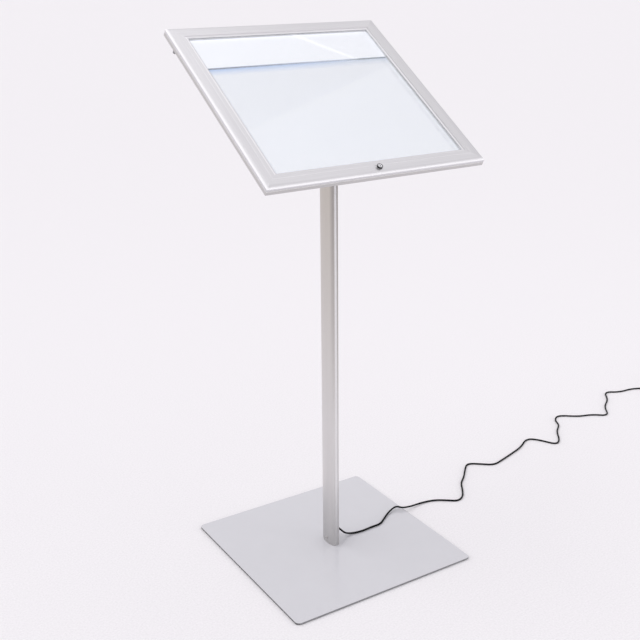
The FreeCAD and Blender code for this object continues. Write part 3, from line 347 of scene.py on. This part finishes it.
def coated(name, colour, roughness=0.4, pores=900, depth=0.00005, foot=None, **sockets):
    """Sprayed or moulded skin: fine even texture, slightly uneven gloss, and painted shade towards a
    foot.
    """
    finish = Finish(name, **sockets)
    place = finish.place()
    skin = finish.noise(place, (pores, pores, pores))
    clouds = finish.noise(place, CLOUDS)
    tone = finish.blend(finish.spread(skin, 0, 1), shade(colour, 0.95), shade(colour, 1.04))
    # Painted shade towards the foot
    if foot:
        height = finish.add("ShaderNodeSeparateXYZ", {"Vector": place}).outputs["Z"]
        tone = finish.paint_foot_shade(tone, height, foot)
    finish.use(
        Base_Color=tone,
        Roughness=finish.spread(clouds, roughness - GLOSS_PLAY, roughness + GLOSS_PLAY),
        Normal=finish.bump(skin, depth, 0.25))
    return finish.material


def plate_finish(name, colour, edge, front):
    """Satin silver paint on top; below it a dark edge of painted shade, paler along the front as painted
    light.
    """
    finish = Finish(name, IOR=PAINT_IOR)
    place = finish.place()
    split = finish.add("ShaderNodeSeparateXYZ", {"Vector": place})
    skin = finish.noise(place, (400, 400, 400))
    clouds = finish.noise(place, CLOUDS)
    cloudy = finish.spread(clouds, 0, 1, *CLOUD_RANGE)
    paint = finish.blend(cloudy, shade(colour, 0.985), shade(colour, 1.015))
    # Edge darkened as painted shade, paler along the front as painted light
    edge_light_and_shade = finish.blend(finish.spread(split.outputs["Y"], 1, 0, *PLATE_LIT_FRONT), edge, front)
    finish.use(
        Base_Color=finish.blend(finish.spread(split.outputs["Z"], 0, 1, *PLATE_SHADED_EDGE), edge_light_and_shade, paint),
        Roughness=finish.spread(clouds, 0.18, 0.24, *CLOUD_RANGE),
        Normal=finish.bump(skin, 0.00001, 0.05))
    return finish.material


def pane_finish(name, colour):
    """Clear plastic with faint wiping marks in its gloss."""
    finish = Finish(name, **CLEAR_PLASTIC)
    marks = finish.noise(finish.place(True), WIPING)
    finish.use(
        Base_Color=finish.blend(finish.spread(marks, 0, 1), shade(colour, 0.995), colour),
        Roughness=finish.spread(marks, 0.01, 0.03))
    return finish.material


def sheet_finish(name):
    """Clear blue-white sheet with a painted dark shade line at its upper edge, paling to the right, and
    a painted blue shade band below it, stronger at the left.
    """
    finish = Finish(name, **CLEAR_PLASTIC)
    place = finish.place(True)
    split = finish.add("ShaderNodeSeparateXYZ", {"Vector": place})
    across = split.outputs["X"]
    up = split.outputs["Y"]
    # Painted shade: a blue band below the upper edge, stronger at the left, and a dark line at the edge
    near = finish.spread(up, 0, 1, *SHEET_SHADE_BAND)
    soft = finish.add("ShaderNodeMath", {0: near, 1: SHADE_BAND_POWER}, operation="POWER").outputs[0]
    band = finish.multiply(soft, finish.spread(across, 1.2, 0.75, *WINDOW))
    deep = finish.blend(finish.spread(across, 0, 1, *BAND_SHADE_SPAN), BAND_SHADE_BLUE, BAND_SHADE_GREY)
    body = finish.blend(band, SHEET_CLEAR, deep)
    paling = finish.blend(finish.spread(across, 0, 1, *RIM_SHADE_PALING), RIM_SHADE_DARK, RIM_SHADE_PALE)
    rim = finish.blend(finish.spread(across, 0, 1, *RIM_SHADE_END), paling, RIM_SHADE_GREY)
    marks = finish.noise(place, WIPING)
    finish.use(
        Base_Color=finish.blend(finish.spread(up, 0, 1, *SHEET_RIM_SHADE), body, rim),
        Roughness=finish.spread(marks, 0.02, 0.05))
    return finish.material


def lit_white(name, colour, low, high, span, axis="Y", edge=1):
    """White surface with a glow: painted light from the light bar on the reflector, channels and beads,
    the LEDs' own light on the chips and lens; uneven along one axis, with painted shade at a left edge.
    """
    finish = Finish(name, Emission_Color=BAR_LIGHT)
    place = finish.place(True)
    split = finish.add("ShaderNodeSeparateXYZ", {"Vector": place})
    skin = finish.noise(place, (500, 500, 500))
    # Painted light: the glow, except on the LED chips and lens
    level = finish.spread(split.outputs[axis], low, high, *span)
    # Painted shade at the left edge
    if edge < 1:
        level = finish.multiply(level, finish.spread(split.outputs["X"], edge, 1, *WINDOW_EDGE_SHADE))
    finish.use(
        Base_Color=finish.blend(finish.spread(skin, 0, 1), shade(colour, 0.98), colour),
        Roughness=finish.spread(skin, 0.42, 0.5),
        Emission_Strength=level)
    return finish.material


def finishes():
    """Finish of every piece that the frame brings."""
    rail_x = grained("rail_anodised_cross", ALUMINIUM, ALONG_X, tilted=True)
    # The left rail's line is a painted highlight
    rail_left = grained("rail_anodised_left", ALUMINIUM, ALONG_Y, tilted=True, line=LEFT_HIGHLIGHT_LINE)
    # The right rail's darker tone and its line are painted shade
    rail_right = grained(
        "rail_anodised_right_shaded", shade(ALUMINIUM, 0.945), ALONG_Y, tilted=True, line=RIGHT_SHADE_LINE)
    case_x = grained("case_anodised_cross", CASE_ALUMINIUM, ALONG_X, tilted=True)
    case_y = grained("case_anodised_side", CASE_ALUMINIUM, ALONG_Y, tilted=True)
    # Column: high is painted shade under the head, front a painted dark reflection
    column = column_finish(
        "column_anodised", low=(0.7, 0.685, 0.68), high=(0.578, 0.542, 0.495), front=(0.36, 0.342, 0.33))
    zinc = grained("zinc_cast", (0.55, 0.56, 0.58), (300, 300, 300), roughness=0.45)
    steel = grained("steel_bright", (0.62, 0.61, 0.6), (900, 900, 900), roughness=0.28)
    # Dark lock sides are painted shade
    lock_ring = lock_finish(
        "lock_ring", side=(0.02, 0.02, 0.022), face=(0.2, 0.2, 0.21), level=RING_TOP)
    lock_face = lock_finish(
        "lock_face", side=(0.04, 0.04, 0.045), face=(0.78, 0.78, 0.8), level=PLUG_TOP)
    # Plate: its edge colour is painted shade, its front colour painted light
    plate = plate_finish(
        "plate_paint", (0.64, 0.64, 0.675), edge=(0.09, 0.09, 0.095), front=(0.22, 0.22, 0.235))
    grey = coated("bracket_grey", (0.36, 0.365, 0.38), roughness=0.45, pores=700, depth=0.00006)
    panel = coated("panel_grey", (0.5, 0.5, 0.51), roughness=0.42, pores=700, depth=0.00006)
    # The strip's foot is darkened as painted shade
    strip = coated("strip_plastic", (0.77, 0.76, 0.77), pores=600, foot=0.55)
    rubber = coated("rubber_black", (0.018, 0.018, 0.019), roughness=0.62, pores=500, depth=0.0001)
    seal = coated("seal_grey", (0.06, 0.06, 0.065), roughness=0.6, pores=500, depth=0.0001)
    gasket = coated("gasket_grey", (0.39, 0.39, 0.4), roughness=0.55, pores=500, depth=0.0001)
    buffer = coated("buffer_grey", (0.28, 0.28, 0.29), roughness=0.55, pores=500, depth=0.0001)
    mat = coated("mat_rubber", (0.03, 0.03, 0.031), roughness=0.7, pores=350, depth=0.0002)
    plastic = coated("adapter_black", (0.014, 0.014, 0.015), roughness=0.42, pores=800, depth=0.0001)
    cord = coated("cord_black", (0.005, 0.005, 0.006), roughness=0.6, Specular_IOR_Level=0.15)
    pane = pane_finish("pane_clear", (0.985, 0.99, 0.995))
    # Painted light: channels, beads and reflector glow from the light bar; the reflector has painted
    # shade at its left edge
    channel = lit_white("channel_white", (0.5, 0.5, 0.52), low=0.42, high=0.46, span=WINDOW)
    bead = lit_white("bead_white", (0.8, 0.8, 0.82), low=0.21, high=0.05, span=BEAD_CORNER)
    lens = lit_white("led_lens", (0.85, 0.85, 0.86), low=0.9, high=1.0, span=BAR_LENS)
    chip = lit_white("led_chip", (0.8, 0.78, 0.6), low=1.5, high=1.6, span=BAR_CHIPS)
    reflector = lit_white(
        "reflector_white", (0.35, 0.35, 0.37), low=0.79, high=0.74, span=WINDOW, axis="X", edge=0.45)
    sheet = sheet_finish("sheet_clear")
    return {
        "base_mat": mat, "base_plate": plate, "base_screws": steel, "foot_block": zinc,
        "foot_screws": steel, "column": column, "column_strip_front": strip, "column_strip_rear": strip,
        "cable_grommet": rubber, "case_grommet": rubber, "inner_lead": cord,
        "head_bracket": grey, "spigot_screws": steel, "bracket_bolts": steel, "bracket_nuts": steel,
        "lead_cover": case_y, "case_rail_top": case_x, "case_rail_bottom": case_x,
        "case_rail_left": case_y, "case_rail_right": case_y, "case_corner_keys": zinc,
        "back_panel": panel, "back_panel_screws": steel,
        "reflector_sheet": reflector, "menu_sheet": sheet, "menu_channel_left": channel,
        "menu_channel_right": channel, "menu_channel_bottom": channel,
        "led_channel": rail_x, "led_board": panel, "led_chips": chip, "led_diffuser": lens,
        "rear_buffers": buffer, "door_seal": seal, "hinge_case_leaves": steel,
        "hinge_case_screws": steel, "hinge_pins": steel, "door_rail_top": rail_x,
        "door_rail_bottom": rail_x, "door_rail_left": rail_left, "door_rail_right": rail_right,
        "door_corner_keys": zinc, "glazing": pane, "glazing_gasket": gasket, "glazing_beads": bead,
        "hinge_door_leaves": steel, "hinge_door_screws": steel, "lock_body": lock_ring,
        "lock_nut": zinc, "lock_plug": lock_face, "lock_cam": zinc, "cam_screw": steel,
        "power_cord": cord, "cord_coil": cord, "cord_tie": plastic,
        "adapter_strain_relief": plastic, "adapter_body": plastic, "adapter_pins": steel,
    }


def dress(cord):
    table = finishes()
    for name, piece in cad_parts.items():
        if not piece.material_slots:
            piece.data.materials.append(None)
        for slot in piece.material_slots:
            slot.material = table[name]
    cord.data.materials.append(table["power_cord"])


# Floor, world and soft lamps
FLOOR_REACH = 60
SUN_AIM = (0, 0, 2)


def add_floor():
    mesh = bpy.data.meshes.new("floor")
    near, far = -FLOOR_REACH, FLOOR_REACH
    corners = [(near, near, 0), (far, near, 0), (far, far, 0), (near, far, 0)]
    mesh.from_pydata(corners, [], [(0, 1, 2, 3)])
    floor = bpy.data.objects.new("floor", mesh)
    scene.collection.objects.link(floor)
    paper = coated("floor_paper", (0.885, 0.87, 0.89), roughness=0.8, pores=250, depth=0.0001)
    mesh.materials.append(paper)


def add_lamp(name, kind, place, power, target=None, spin=0, **sizes):
    """A lamp that looks at its target, or else straight down."""
    data = bpy.data.lights.new(name, kind)
    data.energy = power
    for size, value in sizes.items():
        setattr(data, size, value)
    lamp = bpy.data.objects.new(name, data)
    lamp.location = place
    aim = target or (place[0], place[1], 0)
    turn = (Vector(aim) - Vector(place)).to_track_quat("-Z", "Y")
    lamp.rotation_euler = (turn @ Quaternion((0, 0, 1), spin)).to_euler()
    scene.collection.objects.link(lamp)


def add_light():
    world = bpy.data.worlds.new("world")
    world.use_nodes = True
    background = world.node_tree.nodes["Background"]
    background.inputs["Color"].default_value = (0.995, 0.975, 1.0, 1)
    background.inputs["Strength"].default_value = 0.875
    scene.world = world
    add_lamp(
        "sky_left", "SUN", place=(-0.6, 0.38, 2.7), power=0.6, target=SUN_AIM, angle=radians(62))
    add_lamp(
        "sky_front", "SUN", place=(0.57, -0.8, 2.12), power=0.4, target=SUN_AIM, angle=radians(36))
    add_lamp(
        "softbox", "AREA", place=(1.37, 0.02, 3), power=0.9, spin=radians(16.3),
        shape="RECTANGLE", size=1.6, size_y=1.2)
    add_lamp("overhead", "AREA", place=(0.25, 0.6, 2.9), power=1.4, shape="SQUARE", size=0.8)
    add_lamp(
        "tube", "AREA", place=(1.365, 0.838, 3), power=0.0097, spin=radians(-23.8),
        shape="RECTANGLE", size=0.335, size_y=0.007)


add_camera()
cord_piece = add_cord()
dress(cord_piece)
add_floor()
add_light()
